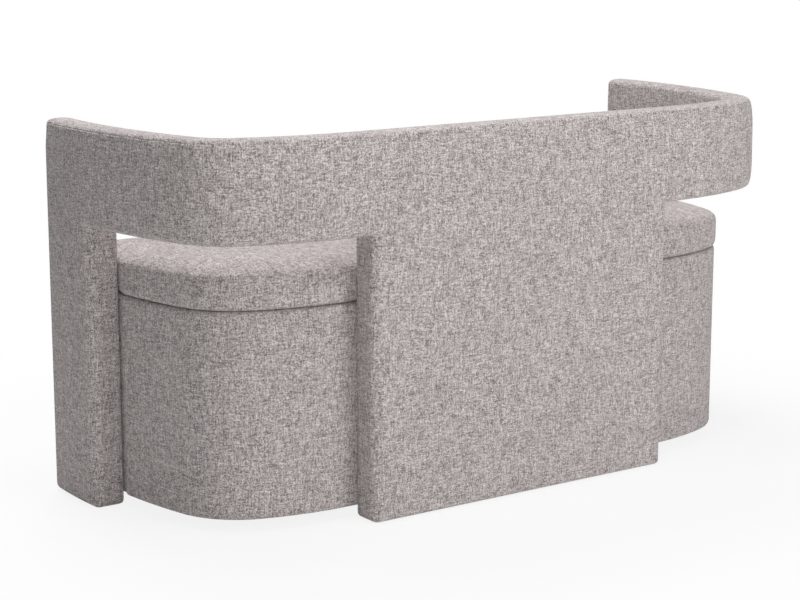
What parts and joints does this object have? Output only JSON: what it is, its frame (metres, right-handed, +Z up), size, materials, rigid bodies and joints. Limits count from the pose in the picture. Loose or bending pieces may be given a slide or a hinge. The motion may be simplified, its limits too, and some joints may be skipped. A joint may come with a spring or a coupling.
{
  "type": "upholstered banquette bench",
  "caption": "Fully upholstered banquette bench with a curved wrap-around back band, flat arm and back stretches to the floor, and a fixed crowned seat on a drum base.",
  "frame": {"origin": "on the floor under the middle of the bench's bounding box", "axes": "+X along the length of the bench, +Y from the open front to the outer back, +Z up"},
  "size_m": [1.5078, 0.57, 0.746],
  "materials": {
    "cover_fabric": "matte",
    "seat_fabric": "matte",
    "plywood": "matte",
    "timber": "matte",
    "foam": "matte",
    "seat_foam": "matte",
    "dust_fabric": "matte",
    "zinc_steel": "satin",
    "stem_steel": "satin",
    "glide_nylon": "satin",
    "foot_nylon": "satin"
  },
  "bodies": {
    "bench": {"outer_cover": "cover_fabric", "inner_cover": "cover_fabric", "base_cover": "cover_fabric", "seat_cover": "seat_fabric", "outer_skin": "plywood", "inner_skin": "plywood", "top_rib": "plywood", "bottom_ribs": "plywood", "base_skin": "plywood", "base_front_board": "plywood", "base_bottom_plate": "plywood", "base_top_plate": "plywood", "seat_deck": "plywood", "band_studs": "timber", "arm_studs": "timber", "arm_blocks": "timber", "panel_studs": "timber", "panel_rails": "timber", "base_struts": "timber", "corner_blocks": "timber", "band_foam": "foam", "left_arm_foam": "foam", "right_arm_foam": "foam", "panel_foam": "foam", "base_foam": "foam", "seat_foam": "seat_foam", "dust_cloth": "dust_fabric", "seat_screws": "zinc_steel", "joining_bolts": "zinc_steel", "joining_washers": "zinc_steel", "joining_nuts": "zinc_steel", "foot_nuts": "zinc_steel", "nail_glides": "glide_nylon"},
    "front_left_foot": {"front_left_foot_pad": "foot_nylon", "front_left_foot_stem": "stem_steel"},
    "front_middle_foot": {"front_middle_foot_pad": "foot_nylon", "front_middle_foot_stem": "stem_steel"},
    "front_right_foot": {"front_right_foot_pad": "foot_nylon", "front_right_foot_stem": "stem_steel"},
    "rear_left_foot": {"rear_left_foot_pad": "foot_nylon", "rear_left_foot_stem": "stem_steel"},
    "rear_middle_foot": {"rear_middle_foot_pad": "foot_nylon", "rear_middle_foot_stem": "stem_steel"},
    "rear_right_foot": {"rear_right_foot_pad": "foot_nylon", "rear_right_foot_stem": "stem_steel"}
  },
  "joints": [
    {"name": "front_left_foot_slide", "type": "slide", "parent": "bench", "child": "front_left_foot", "axis": [0, 0, -1], "range_m": [0, 0.01]},
    {"name": "front_middle_foot_slide", "type": "slide", "parent": "bench", "child": "front_middle_foot", "axis": [0, 0, -1], "range_m": [0, 0.01]},
    {"name": "front_right_foot_slide", "type": "slide", "parent": "bench", "child": "front_right_foot", "axis": [0, 0, -1], "range_m": [0, 0.01]},
    {"name": "rear_left_foot_slide", "type": "slide", "parent": "bench", "child": "rear_left_foot", "axis": [0, 0, -1], "range_m": [0, 0.01]},
    {"name": "rear_middle_foot_slide", "type": "slide", "parent": "bench", "child": "rear_middle_foot", "axis": [0, 0, -1], "range_m": [0, 0.01]},
    {"name": "rear_right_foot_slide", "type": "slide", "parent": "bench", "child": "rear_right_foot", "axis": [0, 0, -1], "range_m": [0, 0.01]}
  ]
}
